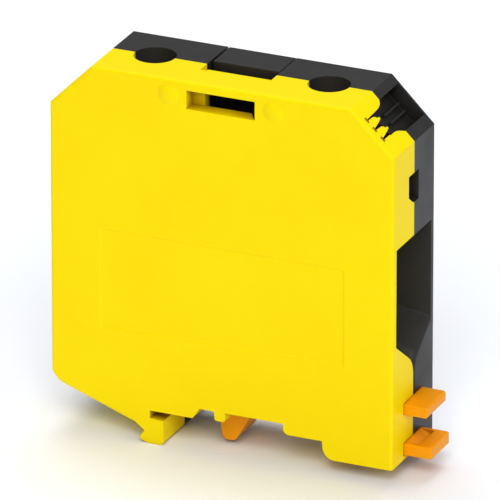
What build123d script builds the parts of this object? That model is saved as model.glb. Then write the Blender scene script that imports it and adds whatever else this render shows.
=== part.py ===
"""High-current DIN-rail terminal block, 20 mm wide, for two conductors of 25 to 70 mm2.

The housing is a front shell and a rear shell that meet on the plane y = 0. They hold the current bar,
two rising clamps with their screws, the cover of the bridge shaft and two slides in the rail foot.
Frame: +Z up, +Y along the rail, origin in the middle of the rail's flange plane.
"""

import os
from math import atan, cos, sin, sqrt

from build123d import *

# Housing, in millimetres.
X_LEFT, X_RIGHT = -38.3, 32.2
X_MID = (X_LEFT + X_RIGHT) / 2
Z_TOP = 68.5
HALF_WIDTH = 10.0
CHAMFER = 8.7
EDGE_ROUND = 0.7

# Rail foot, for a 35 mm top-hat rail whose flange tops lie on z = 0.
FLANGE_END = 17.8
HOOK_LIP_X, HOOK_BOTTOM = -15.0, -6.8
HOOK_TOP_OUTER, HOOK_TOP_LIP = -1.55, -1.8
FOOT_BOTTOM, RECESS_TOP = -3.6, 2.15

# Clamp chambers, one each side of the middle.
CLAMP_OFFSET = 17.85
CHAMBER_HALF_X, CHAMBER_HALF_Y = 6.5, 8.0
CHAMBER_BOTTOM, CHAMBER_TOP = 12.7, 56.2

# Clamp sleeve and its thread plate, fully open.
SLEEVE_HALF_X, SLEEVE_HALF_Y, SLEEVE_WALL = 6.0, 7.8, 1.5
SLEEVE_FLOOR, SLEEVE_TOP = 15.0, 43.6
PLATE_HALF_X, PLATE_BOTTOM, PLATE_TOP = 5.4, 38.4, 42.05

# Clamp screw, M6 with a hexagon socket.
THREAD_CREST, THREAD_ROOT, THREAD_BORE, THREAD_PITCH = 2.95, 2.45, 3.0, 1.0
HEAD_RADIUS, HEAD_BOTTOM, HEAD_TOP = 4.6, 58.0, 63.0
SOCKET_ACROSS, SOCKET_DEPTH = 5.0, 3.2
ACCESS_RADIUS, POCKET_RADIUS, NECK_RADIUS = 4.1, 4.75, 3.05
POCKET_BOTTOM, POCKET_TOP = 57.9, 63.2

# Current bar.
BAR_HALF_X, BAR_HALF_Y, BAR_BOTTOM, BAR_TOP = 24.2, 6.0, 34.0, 38.0
BAR_GAP = 0.08
BRIDGE_HOLE_OFFSET, BRIDGE_HOLE_RADIUS = 3.7, 2.1

# Conductor entries: half width, shoulder height and roof height at the mouth and at the chamber.
ENTRY_MOUTH = (8.3, 21.0, 40.8)
ENTRY_THROAT = (6.2, 23.8, 33.9)
ENTRY_SLOPE, ENTRY_ROUND, LIP_ROUND = 0.73, 5.0, 1.0

# Bridge shaft and its cover.
SHAFT_HALF_X, SHAFT_FRONT, SHAFT_BOTTOM = 6.6, -7.0, 39.0
SHELF_Z, SHELF_FLAT, SHELF_FADE = 67.35, -1.7, -3.2
NOTCH_HALF_X, NOTCH_BOTTOM, REAR_NOTCH_BOTTOM = 7.15, 66.2, 63.1
COVER_HALF_X, COVER_FRONT, COVER_REAR = 6.85, 2.1, 9.75
SLOT_Z = (63.1, 66.0)
SLOT_HALF_X, SLOT_LIP_Z = 7.0, 66.8
SLOT_RELIEF, SLOT_RELIEF_START, SLOT_RELIEF_DEPTH = 1.9, -9.5, 4.0

# Marker grooves on the chamfers. S distances run down the slope from its upper edge.
GROOVE_S, GROOVE_REAR = (2.1, 9.75), 9.1
FRONT_GROOVE_DEPTH, REAR_GROOVE_DEPTH = 4.8, 3.2
TOOTH_FEET, SLIT_ENDS = (3.65, 5.97), (3.5, 5.75, 8.1)
SLIT_END_Y, SLIT_RAMP, SLIT_RAMP_DEPTH = -7.7, 1.1, 0.42
RIB_S, RIB_WIDTH, RIB_Y, RIB_HEIGHT = (4.85, 6.7), 0.4, (1.5, 8.4), 1.0

# Rail-foot slides.
SLIDE_GAP = 0.12
LATCH_HALF_Y, LATCH_Z, LATCH_END = 4.5, (-2.6, -0.2), 37.9
GRIP_X, GRIP_DEPTH = (32.4, 35.0), 0.9
CLAW_X, CLAW_Z = (15.9, 21.0), (-3.4, -1.7)
SPRING_ROOM_X, SPRING_ROOM_HALF_Y = (22.6, 30.8), 1.5
PEG_X, PEG_HALF_Y = (29.0, 30.6), 1.2
SPRING_RADIUS, WIRE_RADIUS, SPRING_TURNS = 0.95, 0.18, 8
LOCK_HALF_Y, LOCK_Z, LOCK_END = 4.5, (5.8, 7.95), 37.1
TONGUE_X, TONGUE_HALF_Y, TONGUE_BOTTOM = (-5.5, 1.4), 4.4, -5.8
LATCH_TRAVEL, LOCK_TRAVEL = 3.2, 4.0

# Details of the two big faces.
PANEL_X, PANEL_Z, PANEL_DEPTH, PANEL_SLOPE = (-28.1, 22.3), (15.6, 35.9), 0.16, 64
BUMP_OFFSET, BUMP_Z, BUMP_RADIUS, BUMP_HEIGHT = 10.75, 65.4, 2.1, 0.6

# Pins that join the shells, as places in x and z. The upper ones stand on the rear shell.
PIN_RADIUS, PIN_LENGTH, PIN_GAP = 1.2, 6.6, 0.05
LOWER_PINS = [(27.0, 10.4), (2 * X_MID - 27.0, 10.4), (X_MID, 24.0)]
UPPER_PINS = [(26.2, 55.8), (2 * X_MID - 26.2, 55.8)]


def block(x, y, z):
    """A box between two limits along each axis."""
    middle = [(low + high) / 2 for low, high in (x, y, z)]
    size = [high - low for low, high in (x, y, z)]
    return Pos(*middle) * Box(*size)


def upright(x, y, radius, z):
    """A vertical cylinder between two heights."""
    return Pos(x, y, (z[0] + z[1]) / 2) * Cylinder(radius, z[1] - z[0])


def along_y(outline, y):
    """An x-z face carried from y[0] to y[1]."""
    plane = Plane(origin=(0, y[1], 0), x_dir=(1, 0, 0), z_dir=(0, -1, 0))
    return extrude(plane * outline, y[1] - y[0])


def end_plane(x):
    """A plane across the block at x, with its own x and y along +Y and +Z."""
    return Plane(origin=(x, 0, 0), x_dir=(0, 1, 0), z_dir=(1, 0, 0))


def along_x(outline, x):
    """A y-z face carried from x[0] to x[1]."""
    return extrude(end_plane(x[0]) * outline, x[1] - x[0])


def rounded(outline, corners, radius):
    """The face with the named corners rounded."""
    hit = [v for v in outline.vertices() for x, z in corners if abs(v.X - x) + abs(v.Y - z) < 0.01]
    return fillet(hit, radius)


def mirrored(shape):
    """The same shape at the other end of the block."""
    return mirror(shape, Plane(origin=(X_MID, 0, 0), z_dir=(1, 0, 0)))


def housing_outline():
    """The side outline, with the fixed hook at the left of the foot and the rail recess in the middle."""
    outline = make_face(
        Polyline(
            (X_LEFT + CHAMFER, Z_TOP),
            (X_RIGHT - CHAMFER, Z_TOP),
            (X_RIGHT, Z_TOP - CHAMFER),
            (X_RIGHT, FOOT_BOTTOM),
            (18.1, FOOT_BOTTOM),
            (FLANGE_END, 0),
            (9.8, 0),
            (9.8, RECESS_TOP),
            (-2.2, RECESS_TOP),
            (-2.2, 0.3),
            (-4.3, 0.3),
            (-4.5, RECESS_TOP),
            (-7.5, RECESS_TOP),
            (-8.9, 0),
            (-FLANGE_END, 0),
            (-FLANGE_END, HOOK_TOP_OUTER),
            (HOOK_LIP_X, HOOK_TOP_LIP),
            (HOOK_LIP_X, HOOK_BOTTOM),
            (-18.3, HOOK_BOTTOM),
            (-20.2, -6.0),
            (-18.9, -4.3),
            (-20.0, -3.45),
            (-36.6, 2.6),
            (X_LEFT, 4.4),
            (X_LEFT, Z_TOP - CHAMFER),
            close=True,
        )
    )
    outline = rounded(outline, [(18.1, FOOT_BOTTOM)], 2.4)
    outline = rounded(outline, [(9.8, 0)], 1.2)
    outline = rounded(outline, [(HOOK_LIP_X, HOOK_BOTTOM), (-18.3, HOOK_BOTTOM), (-20.2, -6.0)], 0.6)
    outline = rounded(outline, [(-2.2, 0.3), (-4.3, 0.3)], 0.4)
    return rounded(outline, [(-36.6, 2.6), (X_LEFT, 4.4)], 1.8)


def shell_blank(y):
    """A solid shell before its hollows, with the rim of its outer face slightly rounded."""
    blank = along_y(housing_outline(), y)
    outer = y[0] if y[0] < 0 else y[1]
    rim = [e for e in blank.edges() if abs(e.center().Y - outer) < 0.01 and e.center().Z > 8 and e.length > 5]
    return fillet(rim, EDGE_ROUND)


def entry_face(size):
    """Section of a conductor entry: a flat roof, and two floors that roll down to meet between the shells."""
    half_width, shoulder, roof = size
    turn = atan(1 / ENTRY_SLOPE)
    bend_y = ENTRY_ROUND * (1 - cos(turn))
    bend_z = shoulder - ENTRY_SLOPE * (half_width - bend_y)
    low = bend_z - ENTRY_ROUND * sin(turn)
    middle_y = ENTRY_ROUND * (1 - cos(turn / 2))
    middle_z = low + ENTRY_ROUND * sin(turn / 2)
    rear_floor = ThreePointArc((0, low), (middle_y, middle_z), (bend_y, bend_z))
    front_floor = ThreePointArc((-bend_y, bend_z), (-middle_y, middle_z), (0, low))
    walls = Polyline(
        (bend_y, bend_z),
        (half_width, shoulder),
        (half_width, roof),
        (-half_width, roof),
        (-half_width, shoulder),
        (-bend_y, bend_z),
    )
    return make_face(rear_floor + walls + front_floor)


def entry_hollow():
    """The funnel that leads a conductor from the right-hand end into its clamp."""
    throat_x = X_MID + CLAMP_OFFSET + CHAMBER_HALF_X
    throat = end_plane(throat_x - 0.01) * entry_face(ENTRY_THROAT)
    mouth = end_plane(X_RIGHT) * entry_face(ENTRY_MOUTH)
    return loft([throat, mouth])


def window_hollow():
    """The opening above an entry through which a probe reaches the clamp."""
    corners = [(-2.6, 53.5), (2.1, 53.5), (2.1, 47.5), (-0.35, 47.5), (-2.6, 49.2)]
    window = make_face(Polyline(*corners, close=True))
    return along_x(window, (X_MID + CLAMP_OFFSET + CHAMBER_HALF_X - 0.1, X_RIGHT + 1))


def clamp_hollow():
    """Chamber of the clamp, neck and pocket of its screw, and the shaft that a hexagon key comes down."""
    x = X_MID + CLAMP_OFFSET
    chamber = block(
        (x - CHAMBER_HALF_X, x + CHAMBER_HALF_X),
        (-CHAMBER_HALF_Y, CHAMBER_HALF_Y),
        (CHAMBER_BOTTOM, CHAMBER_TOP),
    )
    neck = upright(x, 0, NECK_RADIUS, (CHAMBER_TOP - 1, POCKET_BOTTOM + 1))
    pocket = upright(x, 0, POCKET_RADIUS, (POCKET_BOTTOM, POCKET_TOP))
    access = upright(x, 0, ACCESS_RADIUS, (POCKET_TOP - 1, Z_TOP + 1))
    return chamber + neck + pocket + access


def chamfer_plane():
    """The right-hand chamfer, with its own x down the slope and its own y along +Y."""
    slope = sqrt(0.5)
    return Plane(origin=(X_RIGHT - CHAMFER, 0, Z_TOP), x_dir=(slope, 0, -slope), z_dir=(slope, 0, slope))


def sunk_in_chamfer(outline, depth):
    """An outline on the chamfer, sunk straight into it."""
    return extrude(chamfer_plane() * outline, -depth) + extrude(chamfer_plane() * outline, 1)


def marker_tooth(foot):
    """One tooth of a marker groove, springing from the closed front of the groove at its foot."""
    return make_face(
        Polyline(
            (foot, SLIT_END_Y - 0.1),
            (foot + 0.1, -5.7),
            (foot + 0.4, -5.0),
            (foot + 0.75, -4.8),
            (foot + 0.85, -4.0),
            (foot + 1.25, -4.0),
            (foot + 1.6, -5.5),
            (foot + 1.95, SLIT_END_Y - 0.1),
            close=True,
        )
    )


def slit_ramp(s):
    """A shallow ramp that leads out of the closed end of a slit beside a tooth."""
    slope = sqrt(0.5)
    along = (s - SLIT_RAMP / 2) * slope
    plane = Plane(
        origin=(X_RIGHT - CHAMFER + along, 0, Z_TOP - along),
        x_dir=(0, 1, 0),
        z_dir=(slope, 0, -slope),
    )
    corners = [(SLIT_END_Y - 1, 0.02), (SLIT_END_Y + 0.1, -SLIT_RAMP_DEPTH), (SLIT_END_Y + 0.1, 0.02)]
    return extrude(plane * make_face(Polyline(*corners, close=True)), SLIT_RAMP)


def front_groove():
    """The part of a marker groove in the front shell, with two teeth that grip a marker strip."""
    start, end = GROOVE_S
    upper_curve = Spline((start, -0.1), (2.66, -0.66), (3.1, -1.8), (3.26, -3.2))
    sides = Polyline((3.26, -3.2), (3.4, SLIT_END_Y), (8.3, SLIT_END_Y), (8.3, -5.4), (8.5, -4.9))
    lower_curve = Spline((8.5, -4.9), (8.5, -3.8), (8.62, -2.6), (9.13, -1.25), (end, -0.1))
    rear = Polyline((end, -0.1), (end, 0.01), (start, 0.01), (start, -0.1))
    groove = make_face(upper_curve + sides + lower_curve + rear)
    for foot in TOOTH_FEET:
        groove -= marker_tooth(foot)
    hollow = sunk_in_chamfer(groove, FRONT_GROOVE_DEPTH)
    for s in SLIT_ENDS:
        hollow += slit_ramp(s)
    return hollow


def rear_groove():
    """The part of a marker groove in the rear shell, with two low ribs along its floor."""
    start, end = GROOVE_S
    corners = [(start, -0.01), (end, -0.01), (end, GROOVE_REAR), (start, GROOVE_REAR)]
    hollow = sunk_in_chamfer(make_face(Polyline(*corners, close=True)), REAR_GROOVE_DEPTH)
    floor = chamfer_plane().offset(-REAR_GROOVE_DEPTH - 1)
    for s in RIB_S:
        middle = Pos(s + RIB_WIDTH / 2, sum(RIB_Y) / 2)
        hollow -= extrude(floor * middle * Rectangle(RIB_WIDTH, RIB_Y[1] - RIB_Y[0]), 1 + RIB_HEIGHT)
    return hollow


def bridge_shaft():
    """The shaft down to the middle of the current bar, open at the rear for its cover."""
    shaft = block(
        (X_MID - SHAFT_HALF_X, X_MID + SHAFT_HALF_X),
        (SHAFT_FRONT, CHAMBER_HALF_Y),
        (BAR_TOP - 0.5, SLOT_Z[1]),
    )
    notch = block(
        (X_MID - NOTCH_HALF_X, X_MID + NOTCH_HALF_X),
        (0, HALF_WIDTH + 1),
        (NOTCH_BOTTOM, Z_TOP + 1),
    )
    throat = block(
        (X_MID - SHAFT_HALF_X, X_MID + SHAFT_HALF_X),
        (0, CHAMBER_HALF_Y),
        (SLOT_Z[1] - 1, NOTCH_BOTTOM + 1),
    )
    rear_notch = block(
        (X_MID - NOTCH_HALF_X, X_MID + NOTCH_HALF_X),
        (CHAMBER_HALF_Y - 0.1, HALF_WIDTH + 1),
        (REAR_NOTCH_BOTTOM, NOTCH_BOTTOM + 1),
    )
    return shaft + notch + throat + rear_notch


def bar_hollow():
    """The slot that holds the current bar in the middle of the housing."""
    return block(
        (X_MID - BAR_HALF_X + 1, X_MID + BAR_HALF_X - 1),
        (-BAR_HALF_Y - BAR_GAP, BAR_HALF_Y + BAR_GAP),
        (BAR_BOTTOM - BAR_GAP, BAR_TOP + BAR_GAP),
    )


def core_pockets():
    """Two hollows under the bar that keep the moulding's walls even."""
    half = CLAMP_OFFSET - CHAMBER_HALF_X - 2
    pocket = block((X_MID + 2.2, X_MID + half), (-CHAMBER_HALF_Y, CHAMBER_HALF_Y), (14.5, 31.5))
    pocket = fillet(pocket.edges().filter_by(Axis.Y), 1)
    return pocket + mirrored(pocket)


def slide_hollows():
    """The channels of the two slides in the foot, and the room that the tongue moves in."""
    latch = block(
        (FLANGE_END - 1, X_RIGHT + 1),
        (-LATCH_HALF_Y - SLIDE_GAP, LATCH_HALF_Y + SLIDE_GAP),
        (LATCH_Z[0] - SLIDE_GAP, LATCH_Z[1] + SLIDE_GAP),
    )
    claw = block(
        (FLANGE_END - 1, CLAW_X[1] + LATCH_TRAVEL + 0.3),
        (-LATCH_HALF_Y - SLIDE_GAP, LATCH_HALF_Y + SLIDE_GAP),
        (FOOT_BOTTOM - 1, LATCH_Z[1] + SLIDE_GAP),
    )
    peg = block(PEG_X, (-PEG_HALF_Y, PEG_HALF_Y), (LATCH_Z[0] - 1, LATCH_Z[1] + 1))
    lock = block(
        (TONGUE_X[0] - 0.8, X_RIGHT + 1),
        (-LOCK_HALF_Y - SLIDE_GAP, LOCK_HALF_Y + SLIDE_GAP),
        (LOCK_Z[0] - SLIDE_GAP, LOCK_Z[1] + SLIDE_GAP),
    )
    tongue = block(
        (TONGUE_X[0] - 0.8, TONGUE_X[1] + LOCK_TRAVEL + 0.4),
        (-TONGUE_HALF_Y - 0.2, TONGUE_HALF_Y + 0.2),
        (-1, LOCK_Z[1]),
    )
    return latch + claw - peg + lock + tongue


def hollows():
    """Every hollow that both shells share."""
    ends = entry_hollow() + window_hollow() + clamp_hollow()
    return ends + mirrored(ends) + bar_hollow() + core_pockets() + slide_hollows()


def pins(places, radius, length, side):
    """Pins standing on the joint plane towards side * Y; with a larger radius and length, their sockets."""
    return [
        Pos(x, side * (length / 2 - 0.5), z) * Rot(90, 0, 0) * Cylinder(radius, length + 1)
        for x, z in places
    ]


def joined(shell, pin_places, socket_places, side):
    """A shell with its own pins towards side * Y and the sockets for the other shell's pins."""
    for pin in pins(pin_places, PIN_RADIUS, PIN_LENGTH, side):
        shell += pin
    for socket in pins(socket_places, PIN_RADIUS + PIN_GAP, PIN_LENGTH + 0.3, -side):
        shell -= socket
    return shell


def bumps(y, radius_gap):
    """The two shallow domes beside the slot, set on the face at y and swelling towards -Y."""
    ball = (BUMP_RADIUS**2 + BUMP_HEIGHT**2) / (2 * BUMP_HEIGHT)
    middle = y - BUMP_HEIGHT + ball
    return [
        Pos(X_MID + side * BUMP_OFFSET, middle, BUMP_Z) * Sphere(ball + radius_gap)
        for side in (-1, 1)
    ]


def shelf():
    """The lowered shelf in the front shell's top edge, ahead of the cover."""
    outline = make_face(
        Polyline(
            (0.01, Z_TOP + 1),
            (0.01, SHELF_Z),
            (SHELF_FLAT, SHELF_Z),
            (SHELF_FADE, Z_TOP),
            (SHELF_FADE, Z_TOP + 1),
            close=True,
        )
    )
    return along_x(outline, (X_MID - NOTCH_HALF_X, X_MID + NOTCH_HALF_X))


def front_slot():
    """The slot in the front wall through which a bridge reaches the next block."""
    wall = (-HALF_WIDTH - 1, SHAFT_FRONT + 0.01)
    slot = block((X_MID - SLOT_HALF_X, X_MID + SLOT_HALF_X), wall, (SLOT_Z[0], SLOT_LIP_Z))
    return slot + slot_relief()


def slot_relief():
    """A wedge-shaped relief in the slot's floor, at its right-hand end, that widens towards the shaft."""
    end = X_MID + SLOT_HALF_X
    outline = make_face(
        Polyline(
            (end - 0.4, SLOT_RELIEF_START),
            (end, SLOT_RELIEF_START),
            (end, SHAFT_FRONT + 0.01),
            (end - SLOT_RELIEF, SHAFT_FRONT + 0.01),
            close=True,
        )
    )
    bottom = SLOT_Z[0] - SLOT_RELIEF_DEPTH
    return extrude(Plane.XY.offset(bottom) * outline, SLOT_RELIEF_DEPTH + 0.1)


def slot_rib():
    """An upright rib inside the front shell, at the left of the slot."""
    return block(
        (X_MID - SLOT_HALF_X, X_MID - 4.5),
        (SHAFT_FRONT - 0.01, SHAFT_FRONT + 1.5),
        (SHAFT_BOTTOM, SLOT_Z[1] + 0.5),
    )


def panel_recess():
    """The shallow panel on the front face, sunk with gently sloping sides."""
    middle = (sum(PANEL_X) / 2, -HALF_WIDTH, sum(PANEL_Z) / 2)
    inwards = Plane(origin=middle, x_dir=(1, 0, 0), z_dir=(0, 1, 0))
    outline = inwards * Rectangle(PANEL_X[1] - PANEL_X[0], PANEL_Z[1] - PANEL_Z[0])
    return extrude(outline, PANEL_DEPTH, taper=PANEL_SLOPE)


def with_round_lips(shell):
    """The rear shell with the edges rounded where its entry floors meet the end walls."""
    ends = [e for e in shell.edges() if e.center().X < X_LEFT + 0.01 or e.center().X > X_RIGHT - 0.01]
    inside = [e for e in ends if 0.05 < e.center().Y < ENTRY_MOUTH[0] - 0.1]
    lips = [e for e in inside if ENTRY_MOUTH[1] - 8 < e.center().Z < ENTRY_MOUTH[1] - 0.1]
    return fillet(lips, LIP_ROUND)


def housing_front():
    """The yellow shell in front of the joint plane."""
    shell = shell_blank((-HALF_WIDTH, 0)) - hollows() - bridge_shaft()
    groove = front_groove()
    shell = shell - groove - mirrored(groove) - shelf() - front_slot()
    shell += slot_rib()
    shell -= panel_recess()
    dome_zone = block((X_MID - 20, X_MID + 20), (-HALF_WIDTH - 2, -HALF_WIDTH + 0.3), (60, 68))
    for bump in bumps(-HALF_WIDTH, 0):
        shell += bump & dome_zone
    return joined(shell, LOWER_PINS, UPPER_PINS, 1)


def housing_rear():
    """The black shell behind the joint plane."""
    shell = shell_blank((0, HALF_WIDTH)) - hollows() - bridge_shaft()
    groove = rear_groove()
    shell = with_round_lips(shell - groove - mirrored(groove))
    for dimple in bumps(HALF_WIDTH, 0.1):
        shell -= dimple
    return joined(shell, UPPER_PINS, LOWER_PINS, -1)


def current_bar():
    """A flat copper bar through both clamps, with two tapped holes under the bridge shaft."""
    bar = block(
        (X_MID - BAR_HALF_X, X_MID + BAR_HALF_X),
        (-BAR_HALF_Y, BAR_HALF_Y),
        (BAR_BOTTOM, BAR_TOP),
    )
    bar = chamfer(bar.edges().group_by(Axis.X)[-1] + bar.edges().group_by(Axis.X)[0], 0.5)
    for side in (-1, 1):
        x = X_MID + side * BRIDGE_HOLE_OFFSET
        bar -= upright(x, 0, BRIDGE_HOLE_RADIUS, (BAR_BOTTOM - 1, BAR_TOP + 1))
        bar -= Pos(x, 0, BAR_TOP - 0.25) * Cone(BRIDGE_HOLE_RADIUS, BRIDGE_HOLE_RADIUS + 0.5, 0.5)
    return bar


def sleeve_section(inset):
    """The V-bottomed outline of a clamp sleeve with rounded corners, drawn in by the inset."""
    half = SLEEVE_HALF_Y - inset
    apex = SLEEVE_FLOOR - SLEEVE_WALL * sqrt(1 + ENTRY_SLOPE**2) + inset * sqrt(1 + ENTRY_SLOPE**2)
    outline = make_face(
        Polyline(
            (0, apex),
            (half, apex + ENTRY_SLOPE * half),
            (half, SLEEVE_TOP - inset),
            (-half, SLEEVE_TOP - inset),
            (-half, apex + ENTRY_SLOPE * half),
            close=True,
        )
    )
    return fillet(outline.vertices(), 2.2 - inset)


def clamp_sleeve(side):
    """A steel frame bent round the bar and the conductor, with teeth across its floor."""
    x = X_MID + side * CLAMP_OFFSET
    limits = (x - SLEEVE_HALF_X, x + SLEEVE_HALF_X)
    sleeve = along_x(sleeve_section(0) - sleeve_section(SLEEVE_WALL), limits)
    sleeve -= upright(x, 0, NECK_RADIUS, (PLATE_TOP - 1, SLEEVE_TOP + 1))
    skin = along_x(sleeve_section(SLEEVE_WALL - 0.3) - sleeve_section(SLEEVE_WALL), limits)
    floor = block(limits, (-5, 5), (SLEEVE_FLOOR - 3, SLEEVE_FLOOR + 5))
    for step in range(-2, 3):
        mark = Pos(x + 2 * step, 0, SLEEVE_FLOOR + 5) * Box(0.6, 14, 14)
        sleeve -= mark & skin & floor
    return sleeve


def thread_plate(side):
    """The threaded plate held under the sleeve's top."""
    x = X_MID + side * CLAMP_OFFSET
    half_y = SLEEVE_HALF_Y - SLEEVE_WALL - 0.02
    plate = block((x - PLATE_HALF_X, x + PLATE_HALF_X), (-half_y, half_y), (PLATE_BOTTOM, PLATE_TOP))
    plate = fillet(plate.edges().filter_by(Axis.Z), 0.8)
    plate = fillet(plate.edges().group_by(Axis.Z)[-1].filter_by(Axis.X), 0.75)
    return plate - upright(x, 0, THREAD_BORE, (PLATE_BOTTOM - 1, PLATE_TOP + 1))


def clamp_screw(side):
    """An M6 screw with a low round head, a hexagon socket and a flat tip that bears on the bar."""
    x = X_MID + side * CLAMP_OFFSET
    tip = BAR_TOP + 0.02
    profile = [(0, tip), (THREAD_ROOT, tip)]
    turns = int((HEAD_BOTTOM - tip - 2) / THREAD_PITCH)
    for turn in range(turns):
        low = tip + 0.3 + turn * THREAD_PITCH
        profile += [(THREAD_ROOT, low), (THREAD_CREST, low + 0.4)]
        profile += [(THREAD_CREST, low + 0.5), (THREAD_ROOT, low + 0.9)]
    profile += [(THREAD_ROOT, HEAD_BOTTOM - 1.2), (THREAD_CREST, HEAD_BOTTOM - 0.8)]
    profile += [(THREAD_CREST, HEAD_BOTTOM), (HEAD_RADIUS, HEAD_BOTTOM)]
    profile += [(HEAD_RADIUS, HEAD_TOP - 0.4), (HEAD_RADIUS - 0.4, HEAD_TOP), (0, HEAD_TOP)]
    screw = revolve(Plane.XZ * make_face(Polyline(*profile, close=True)), Axis.Z)
    socket = RegularPolygon(SOCKET_ACROSS / 2, 6, major_radius=False)
    screw -= Pos(0, 0, HEAD_TOP - SOCKET_DEPTH) * extrude(socket, SOCKET_DEPTH + 1)
    screw -= Pos(0, 0, HEAD_TOP - 0.2) * Cone(SOCKET_ACROSS / 2, SOCKET_ACROSS / 2 + 0.6, 0.45)
    return Pos(x, 0, 0) * screw


def bridge_cover():
    """The lift-off cover: a top plate, a plug that enters the shaft and an apron over the rear notch."""
    wide = (X_MID - COVER_HALF_X, X_MID + COVER_HALF_X)
    plug_half = SHAFT_HALF_X - 0.1
    plug_rear = CHAMBER_HALF_Y - 0.1
    apron_z = (REAR_NOTCH_BOTTOM + 0.1, NOTCH_BOTTOM + 0.1)
    plate = block(wide, (COVER_FRONT, COVER_REAR), (NOTCH_BOTTOM + 0.05, Z_TOP - 0.08))
    plate = fillet(plate.edges().group_by(Axis.Z)[-1], 0.25)
    plug = block((X_MID - plug_half, X_MID + plug_half), (2.6, plug_rear), (58.5, NOTCH_BOTTOM + 0.1))
    inside = block(
        (X_MID - plug_half + 1.2, X_MID + plug_half - 1.2),
        (3.8, plug_rear - 1.2),
        (58, NOTCH_BOTTOM),
    )
    apron = block(wide, (CHAMBER_HALF_Y + 0.1, COVER_REAR), apron_z)
    web = block((X_MID - 4, X_MID + 4), (CHAMBER_HALF_Y - 0.6, CHAMBER_HALF_Y + 0.3), apron_z)
    return plate + (plug - inside) + apron + web


def foot_latch():
    """The sprung slide whose claw holds the right-hand rail flange, with a grip outside the end wall."""
    bar = block((CLAW_X[1] - 2, LATCH_END), (-LATCH_HALF_Y, LATCH_HALF_Y), LATCH_Z)
    bar = fillet(bar.edges().filter_by(Axis.Z).group_by(Axis.X)[-1], 0.6)
    bar = fillet(bar.edges().group_by(Axis.X)[-1], 0.3)
    bar -= block(SPRING_ROOM_X, (-SPRING_ROOM_HALF_Y, SPRING_ROOM_HALF_Y), (LATCH_Z[0] - 1, LATCH_Z[1] + 1))
    grip_y = (-LATCH_HALF_Y + 0.9, LATCH_HALF_Y - 0.9)
    top, step = LATCH_Z[1], GRIP_X[1]
    corners = [(GRIP_X[0], top + 0.01), (step, top - GRIP_DEPTH), (step, top + 0.01)]
    bar -= along_y(make_face(Polyline(*corners, close=True)), grip_y)
    bar -= block((step - 0.4, step + 0.1), grip_y, (top - GRIP_DEPTH - 0.4, top + 1))
    claw = make_face(
        Polyline(
            (CLAW_X[0], CLAW_Z[1]),
            (CLAW_X[1], CLAW_Z[1]),
            (CLAW_X[1], CLAW_Z[0]),
            (CLAW_X[0] + 1.6, CLAW_Z[0]),
            (CLAW_X[0], CLAW_Z[1] - 0.5),
            close=True,
        )
    )
    return bar + along_y(claw, (-LATCH_HALF_Y, LATCH_HALF_Y))


def latch_spring():
    """The compression spring that pushes the latch towards the rail, shown at its fitted length."""
    length = PEG_X[0] - SPRING_ROOM_X[0] - 2 * WIRE_RADIUS - 0.04
    pitch = length / SPRING_TURNS
    path = Helix(pitch, length, SPRING_RADIUS)
    wire = Plane(origin=path @ 0, z_dir=path % 0) * Circle(WIRE_RADIUS)
    coil = sweep(wire, path)
    middle = (LATCH_Z[0] + LATCH_Z[1]) / 2
    return Pos(SPRING_ROOM_X[0] + WIRE_RADIUS + 0.02, 0, middle) * Rot(0, 90, 0) * coil


def foot_lock():
    """The upper slide of the foot, with a tongue that hangs into the rail channel."""
    back, front = TONGUE_X
    bar = block((back, LOCK_END), (-LOCK_HALF_Y, LOCK_HALF_Y), LOCK_Z)
    bar = chamfer(bar.edges().group_by(Axis.X)[-1], 0.35)
    tongue = make_face(
        Polyline(
            (back, LOCK_Z[0] + 0.5),
            (front, LOCK_Z[0] + 0.5),
            (0.2, -1.0),
            (-2.5, TONGUE_BOTTOM),
            (-5.0, TONGUE_BOTTOM),
            (back, -3),
            close=True,
        )
    )
    tongue = rounded(tongue, [(-2.5, TONGUE_BOTTOM), (-5.0, TONGUE_BOTTOM)], 1.2)
    return bar + along_y(tongue, (-TONGUE_HALF_Y, TONGUE_HALF_Y))


def nodes():
    """Every sub-part by its name."""
    return {
        "housing_front": housing_front(),
        "housing_rear": housing_rear(),
        "bridge_cover": bridge_cover(),
        "current_bar": current_bar(),
        "clamp_sleeve_left": clamp_sleeve(-1),
        "clamp_sleeve_right": clamp_sleeve(1),
        "thread_plate_left": thread_plate(-1),
        "thread_plate_right": thread_plate(1),
        "clamp_screw_left": clamp_screw(-1),
        "clamp_screw_right": clamp_screw(1),
        "foot_latch": foot_latch(),
        "latch_spring": latch_spring(),
        "foot_lock": foot_lock(),
    }


os.makedirs("parts", exist_ok=True)
for name, shape in nodes().items():
    export_step(shape, f"parts/{name}.step")
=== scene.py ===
"""Looks of a DIN-rail terminal block: procedural materials, studio light and the camera."""

import math

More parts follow.
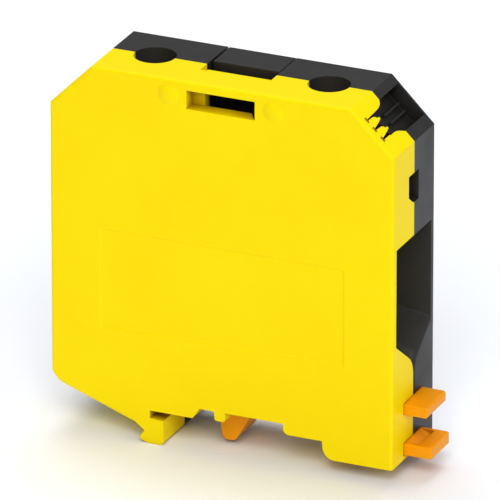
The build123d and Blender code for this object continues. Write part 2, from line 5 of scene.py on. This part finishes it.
import bpy
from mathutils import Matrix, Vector


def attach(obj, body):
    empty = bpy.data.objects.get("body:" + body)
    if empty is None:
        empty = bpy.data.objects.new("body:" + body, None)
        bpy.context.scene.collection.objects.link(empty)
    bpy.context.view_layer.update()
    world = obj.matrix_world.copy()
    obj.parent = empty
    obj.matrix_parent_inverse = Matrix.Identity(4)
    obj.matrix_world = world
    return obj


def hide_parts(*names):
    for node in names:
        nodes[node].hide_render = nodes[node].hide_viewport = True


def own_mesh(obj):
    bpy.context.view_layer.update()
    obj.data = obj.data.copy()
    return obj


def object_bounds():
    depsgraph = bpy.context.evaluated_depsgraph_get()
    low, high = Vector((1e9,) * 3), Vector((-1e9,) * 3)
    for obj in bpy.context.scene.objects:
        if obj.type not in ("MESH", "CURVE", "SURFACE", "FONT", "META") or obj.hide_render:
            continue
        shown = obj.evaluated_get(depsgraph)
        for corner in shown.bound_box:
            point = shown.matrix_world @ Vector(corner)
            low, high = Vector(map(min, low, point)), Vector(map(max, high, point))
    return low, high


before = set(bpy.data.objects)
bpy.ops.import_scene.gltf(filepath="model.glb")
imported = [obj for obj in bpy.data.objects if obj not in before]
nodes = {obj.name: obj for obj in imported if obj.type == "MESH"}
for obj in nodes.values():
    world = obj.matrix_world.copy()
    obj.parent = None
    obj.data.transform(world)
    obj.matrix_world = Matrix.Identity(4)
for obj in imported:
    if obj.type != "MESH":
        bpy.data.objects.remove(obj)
cad_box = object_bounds()

MM = 0.001

# Camera: it looks straight at the block from the photograph's angle, from far off on a long lens.
AZIMUTH, ELEVATION = math.radians(23.8), math.radians(23.0)
DISTANCE = 2.15
TARGET = Vector((-0.0014, 0.0, 0.0320))
LENS = 820.0
SENSOR_WIDTH = 36.0
VIEW_END = 20.0

# Studio: a pale floor sheet, white surroundings and three lamps that shine on the block's middle.
FLOOR_REACH = 3.0
FLOOR_COLOUR, FLOOR_ROUGHNESS = (0.93, 0.95, 1.0), 0.75
SURROUNDINGS_COLOUR, SURROUNDINGS_STRENGTH = (1.0, 1.0, 1.0, 1.0), 0.32
LAMP_AIM = Vector((0.0, 0.0, 0.03))

# The middle part of a noise's range that is spread over the whole: the narrower, the more contrast.
NARROW, WIDE = (0.35, 0.65), (0.3, 0.7)

# The dot product of the true and the softened normal, on flat surfaces and on sharp edges.
FLAT_TO_SHARP = (0.995, 0.80)
EDGE_SAMPLES, CORNER_SAMPLES = 6, 16

# The colour sockets of a mix node, which share their names with its other sockets.
MIX_FACTOR, MIX_FIRST, MIX_SECOND, MIX_RESULT = 0, 6, 7, 2


class Tree:
    """A material's node tree, with short ways to add and feed nodes."""

    def __init__(self, name):
        self.material = bpy.data.materials.new(name)
        self.material.use_nodes = True
        self.tree = self.material.node_tree
        self.shader = self.tree.nodes["Principled BSDF"]

    def add(self, kind, **values):
        node = self.tree.nodes.new(kind)
        for key, value in values.items():
            setattr(node, key, value)
        return node

    def feed(self, value, socket):
        """Feeds a socket with another socket's output, a plain colour or a number."""
        if isinstance(value, bpy.types.NodeSocket):
            self.tree.links.new(value, socket)
        elif isinstance(value, tuple):
            socket.default_value = (*value, 1.0)
        else:
            socket.default_value = value

    def set(self, name, value):
        """Feeds a socket of the shader."""
        self.feed(value, self.shader.inputs[name])

    def position(self, scale):
        """Object coordinates in metres, scaled along each axis: below 1 draws the features out."""
        coordinates = self.add("ShaderNodeTexCoord")
        mapping = self.add("ShaderNodeMapping")
        mapping.inputs["Scale"].default_value = scale
        self.feed(coordinates.outputs["Object"], mapping.inputs["Vector"])
        return mapping.outputs["Vector"]

    def noise(self, size, detail, roughness=0.5, scale=(1.0, 1.0, 1.0)):
        """Noise whose features are about size metres across."""
        node = self.add("ShaderNodeTexNoise")
        node.inputs["Scale"].default_value = 1.0 / size
        node.inputs["Detail"].default_value = detail
        node.inputs["Roughness"].default_value = roughness
        self.feed(self.position(scale), node.inputs["Vector"])
        return node.outputs["Fac"]

    def remap(self, value, source, target=(0.0, 1.0)):
        """Takes a value from the source range to the target range, each a pair of numbers."""
        node = self.add("ShaderNodeMapRange")
        for key, number in zip(("From Min", "From Max", "To Min", "To Max"), (*source, *target)):
            node.inputs[key].default_value = number
        self.feed(value, node.inputs["Value"])
        return node.outputs["Result"]

    def mix(self, factor, first, second):
        """Mixes two colours."""
        node = self.add("ShaderNodeMix", data_type="RGBA")
        self.feed(factor, node.inputs[MIX_FACTOR])
        self.feed(first, node.inputs[MIX_FIRST])
        self.feed(second, node.inputs[MIX_SECOND])
        return node.outputs[MIX_RESULT]

    def calculate(self, operation, first, second):
        node = self.add("ShaderNodeMath", operation=operation)
        self.feed(first, node.inputs[0])
        self.feed(second, node.inputs[1])
        return node.outputs["Value"]

    def product(self, first, second):
        return self.calculate("MULTIPLY", first, second)

    def total(self, first, second):
        return self.calculate("ADD", first, second)

    def edges(self, width):
        """About 1 on edges and 0 on flat surfaces, and the softened normal that shows them."""
        bevel = self.add("ShaderNodeBevel", samples=EDGE_SAMPLES)
        bevel.inputs["Radius"].default_value = width
        geometry = self.add("ShaderNodeNewGeometry")
        dot = self.add("ShaderNodeVectorMath", operation="DOT_PRODUCT")
        self.feed(bevel.outputs["Normal"], dot.inputs[0])
        self.feed(geometry.outputs["Normal"], dot.inputs[1])
        return self.remap(dot.outputs["Value"], FLAT_TO_SHARP), bevel.outputs["Normal"]

    def corners(self, reach):
        """About 1 in open air and 0 deep in corners."""
        node = self.add("ShaderNodeAmbientOcclusion", samples=CORNER_SAMPLES)
        node.inputs["Distance"].default_value = reach
        return node.outputs["AO"]

    def bump(self, height, depth, strength, normal):
        """A normal with relief: height runs from 0 to 1 over the depth in metres."""
        node = self.add("ShaderNodeBump")
        node.inputs["Strength"].default_value = strength
        node.inputs["Distance"].default_value = depth
        self.feed(height, node.inputs["Height"])
        self.feed(normal, node.inputs["Normal"])
        return node.outputs["Normal"]


# Moulded plastic: the size of each kind of mark, and the share of it that shows; the pale edges are partly
# wear and partly a painted highlight, and the crevice colour is painted shade.
MOTTLE_SIZE, MOTTLE_SHARE = 22 * MM, 0.35
FLOW_SIZE, FLOW_SCALE, FLOW_SHARE = 5 * MM, (1.0, 1.0, 0.25), 0.10
EDGE_WIDTH, WEAR_AND_HIGHLIGHT_SIZE, WEAR_AND_HIGHLIGHT_RANGE, WEAR_AND_HIGHLIGHT_SHARES = 0.22 * MM, 1.4 * MM, (0.35, 0.6), (0.15, 0.6)
PAINTED_SHADE_REACH, PAINTED_SHADE_RANGE, PAINTED_SHADE_SHARES = 6 * MM, (0.10, 0.60), (0.95, 0.0)
GLOSS_SIZE, GLOSS_CHANGES, RUBBED_GLOSS_CHANGE = 7 * MM, (-0.05, 0.06), -0.08
WAVE_SIZE, WAVE_DEPTH, WAVE_STRENGTH = 9 * MM, 0.05 * MM, 0.35
GRAIN_SIZE, GRAIN_DEPTH, GRAIN_STRENGTH = 0.16 * MM, 0.006 * MM, 0.6


def moulded_plastic(name, colour, pale, dark, crevice_shade, roughness, specular):
    """Fine-grained plastic: soft mottling, pale edges that are partly rubbed wear and partly a painted
    highlight, painted shade darkening the crevices, slightly uneven gloss.
    """
    tree = Tree(name)
    rim, soft = tree.edges(EDGE_WIDTH)
    mottle = tree.remap(tree.noise(MOTTLE_SIZE, detail=3.0), NARROW)
    flow = tree.remap(tree.noise(FLOW_SIZE, detail=4.0, roughness=0.6, scale=FLOW_SCALE), WIDE)
    body = tree.mix(tree.product(mottle, MOTTLE_SHARE), colour, dark)
    body = tree.mix(tree.product(flow, FLOW_SHARE), body, pale)
    # Pale edges: partly rubbed wear, partly a painted highlight where the edges would catch the light.
    wear_and_highlight = tree.product(rim, tree.remap(tree.noise(WEAR_AND_HIGHLIGHT_SIZE, detail=3.0), WEAR_AND_HIGHLIGHT_RANGE, WEAR_AND_HIGHLIGHT_SHARES))
    body = tree.mix(wear_and_highlight, body, pale)
    # Painted shade: the colour darkens towards the crevice colour in corners and recesses, where shade falls.
    shade = tree.remap(tree.corners(PAINTED_SHADE_REACH), PAINTED_SHADE_RANGE, PAINTED_SHADE_SHARES)
    tree.set("Base Color", tree.mix(shade, body, crevice_shade))
    gloss = tree.total(tree.remap(tree.noise(GLOSS_SIZE, detail=4.0), WIDE, GLOSS_CHANGES), roughness)
    tree.set("Roughness", tree.total(gloss, tree.product(rim, RUBBED_GLOSS_CHANGE)))
    waves = tree.bump(tree.noise(WAVE_SIZE, detail=1.0), WAVE_DEPTH, WAVE_STRENGTH, soft)
    grain = tree.noise(GRAIN_SIZE, detail=2.0, roughness=0.6)
    tree.set("Normal", tree.bump(grain, GRAIN_DEPTH, GRAIN_STRENGTH, waves))
    tree.set("Specular IOR Level", specular)
    return tree.material


# Zinc-plated steel: bright edges, dull clouds of passivation, and streaks brushed across Z or across X.
ZINC_RIM_WIDTH, ZINC_RIM_COLOUR, ZINC_RIM_SHARE = 0.12 * MM, (0.86, 0.86, 0.84), 0.7
ZINC_CLOUD_SIZE, ZINC_CLOUD_COLOUR, ZINC_CLOUD_SHARE = 4 * MM, (0.44, 0.42, 0.36), 0.45
BRUSH_SIZE, BRUSH_GLOSS_CHANGES = 0.35 * MM, (-0.08, 0.10)
BRUSH_DEPTH, BRUSH_STRENGTH = 0.006 * MM, 0.5
ACROSS_Z, ACROSS_X = (1.0, 1.0, 14.0), (14.0, 1.0, 1.0)


def plated_steel(name, colour, roughness, brush=ACROSS_Z):
    """Zinc-plated steel with brushed streaks, cloudy passivation and bright edges."""
    tree = Tree(name)
    rim, soft = tree.edges(ZINC_RIM_WIDTH)
    cloud = tree.remap(tree.noise(ZINC_CLOUD_SIZE, detail=4.0, roughness=0.6), WIDE)
    body = tree.mix(tree.product(cloud, ZINC_CLOUD_SHARE), colour, ZINC_CLOUD_COLOUR)
    tree.set("Base Color", tree.mix(tree.product(rim, ZINC_RIM_SHARE), body, ZINC_RIM_COLOUR))
    tree.set("Metallic", 1.0)
    streaks = tree.noise(BRUSH_SIZE, detail=3.0, roughness=0.6, scale=brush)
    tree.set("Roughness", tree.total(tree.remap(streaks, WIDE, BRUSH_GLOSS_CHANGES), roughness))
    tree.set("Normal", tree.bump(streaks, BRUSH_DEPTH, BRUSH_STRENGTH, soft))
    return tree.material


# Tinned copper: copper shows through at the edges, and the streaks are drawn along X.
TIN_COLOUR = (0.80, 0.76, 0.70)
TIN_RIM_WIDTH, TIN_RIM_COLOUR, TIN_RIM_SHARE = 0.15 * MM, (0.85, 0.42, 0.24), 0.8
TIN_CLOUD_SIZE, TIN_CLOUD_COLOUR, TIN_CLOUD_SHARE = 6 * MM, (0.66, 0.60, 0.53), 0.4
TIN_CLOUD_RANGE = (0.35, 0.7)
DRAWN_SIZE, DRAWN_SCALE, DRAWN_ROUGHNESSES = 0.25 * MM, (0.06, 1.0, 1.0), (0.24, 0.42)
DRAWN_DEPTH, DRAWN_STRENGTH = 0.005 * MM, 0.5


def tinned_copper(name):
    """Tin-plated copper with a warm cast, drawn streaks and copper showing at the edges."""
    tree = Tree(name)
    rim, soft = tree.edges(TIN_RIM_WIDTH)
    cloud = tree.remap(tree.noise(TIN_CLOUD_SIZE, detail=4.0, roughness=0.6), TIN_CLOUD_RANGE)
    body = tree.mix(tree.product(cloud, TIN_CLOUD_SHARE), TIN_COLOUR, TIN_CLOUD_COLOUR)
    tree.set("Base Color", tree.mix(tree.product(rim, TIN_RIM_SHARE), body, TIN_RIM_COLOUR))
    tree.set("Metallic", 1.0)
    streaks = tree.noise(DRAWN_SIZE, detail=3.0, roughness=0.6, scale=DRAWN_SCALE)
    tree.set("Roughness", tree.remap(streaks, WIDE, DRAWN_ROUGHNESSES))
    tree.set("Normal", tree.bump(streaks, DRAWN_DEPTH, DRAWN_STRENGTH, soft))
    return tree.material


# Each finish's crevice colour is painted shade for corners and recesses; its pale colour serves flow marks,
# rubbed wear and a painted edge highlight.
YELLOW = moulded_plastic(
    "yellow_polyamide",
    colour=(0.945, 0.725, 0.0),
    pale=(0.98, 0.79, 0.0),
    dark=(0.89, 0.65, 0.0),
    crevice_shade=(0.24, 0.10, 0.0),
    roughness=0.46,
    specular=0.08,
)
BLACK = moulded_plastic(
    "black_polyamide",
    colour=(0.022, 0.021, 0.021),
    pale=(0.072, 0.070, 0.067),
    dark=(0.014, 0.013, 0.012),
    crevice_shade=(0.008, 0.006, 0.003),
    roughness=0.44,
    specular=0.22,
)
COVER = moulded_plastic(
    "black_polyamide_cover",
    colour=(0.021, 0.020, 0.020),
    pale=(0.068, 0.066, 0.064),
    dark=(0.012, 0.011, 0.010),
    crevice_shade=(0.007, 0.005, 0.003),
    roughness=0.40,
    specular=0.24,
)
ORANGE = moulded_plastic(
    "orange_acetal",
    colour=(0.98, 0.38, 0.0),
    pale=(0.99, 0.50, 0.0),
    dark=(0.72, 0.19, 0.0),
    crevice_shade=(0.42, 0.08, 0.0),
    roughness=0.38,
    specular=0.12,
)
SLEEVE = plated_steel("zinc_plated_sleeve", colour=(0.66, 0.67, 0.68), roughness=0.34)
PLATE = plated_steel("zinc_plated_plate", colour=(0.60, 0.61, 0.62), roughness=0.38, brush=ACROSS_X)
SCREW = plated_steel("zinc_plated_screw", colour=(0.52, 0.52, 0.53), roughness=0.30)
SPRING = plated_steel("spring_wire", colour=(0.40, 0.40, 0.42), roughness=0.28)
COPPER = tinned_copper("tinned_copper")

FINISHES = {
    "housing_front": YELLOW,
    "housing_rear": BLACK,
    "bridge_cover": COVER,
    "foot_latch": ORANGE,
    "foot_lock": ORANGE,
    "clamp_sleeve_left": SLEEVE,
    "clamp_sleeve_right": SLEEVE,
    "thread_plate_left": PLATE,
    "thread_plate_right": PLATE,
    "clamp_screw_left": SCREW,
    "clamp_screw_right": SCREW,
    "latch_spring": SPRING,
    "current_bar": COPPER,
}


def paint(piece, material):
    for slot in piece.material_slots:
        slot.material = material


def make_spring():
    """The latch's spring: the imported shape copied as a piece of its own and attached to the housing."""
    spring = bpy.data.objects.new("latch_spring_coil", nodes["latch_spring"].data.copy())
    bpy.context.collection.objects.link(spring)
    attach(spring, "housing")
    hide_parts("latch_spring")
    paint(spring, SPRING)
    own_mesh(spring)


def make_floor():
    """A pale floor sheet under the lowest point of the block."""
    low = cad_box[0][2]
    reach = FLOOR_REACH
    corners = [(-reach, -reach, low), (reach, -reach, low), (reach, reach, low), (-reach, reach, low)]
    mesh = bpy.data.meshes.new("floor")
    mesh.from_pydata(corners, [], [(0, 1, 2, 3)])
    floor = bpy.data.objects.new("floor", mesh)
    bpy.context.collection.objects.link(floor)
    tree = Tree("pale_floor")
    tree.set("Base Color", FLOOR_COLOUR)
    tree.set("Roughness", FLOOR_ROUGHNESS)
    mesh.materials.append(tree.material)


def make_world():
    """White surroundings, which lighten the shadows."""
    world = bpy.data.worlds.new("studio")
    world.use_nodes = True
    background = world.node_tree.nodes["Background"]
    background.inputs["Color"].default_value = SURROUNDINGS_COLOUR
    background.inputs["Strength"].default_value = SURROUNDINGS_STRENGTH
    bpy.context.scene.world = world


def area_light(name, place, size, power):
    """A rectangular lamp at a place in metres, aimed at the block's middle."""
    data = bpy.data.lights.new(name, "AREA")
    data.shape = "RECTANGLE"
    data.size, data.size_y = size
    data.energy = power
    light = bpy.data.objects.new(name, data)
    light.location = place
    light.rotation_euler = (LAMP_AIM - Vector(place)).to_track_quat("-Z", "Y").to_euler()
    bpy.context.collection.objects.link(light)


def make_camera():
    """The photograph's camera, which looks at the target from the azimuth and elevation."""
    data = bpy.data.cameras.new("camera")
    data.lens = LENS
    data.sensor_width = SENSOR_WIDTH
    data.clip_end = VIEW_END
    camera = bpy.data.objects.new("camera", data)
    towards = Vector(
        (
            -math.sin(AZIMUTH) * math.cos(ELEVATION),
            math.cos(AZIMUTH) * math.cos(ELEVATION),
            -math.sin(ELEVATION),
        )
    )
    camera.location = TARGET - towards * DISTANCE
    camera.rotation_euler = towards.to_track_quat("-Z", "Y").to_euler()
    bpy.context.collection.objects.link(camera)
    bpy.context.scene.camera = camera


for name, material in FINISHES.items():
    paint(nodes[name], material)
make_spring()
make_floor()
make_world()
area_light("key", place=(0.60, -1.60, 1.55), size=(1.1, 1.1), power=26.5)
area_light("fill", place=(1.70, -0.50, 0.90), size=(1.0, 1.0), power=7.0)
area_light("top", place=(-0.30, 0.60, 2.00), size=(1.4, 1.1), power=23.0)
make_camera()
bpy.context.scene.view_settings.view_transform = "Standard"
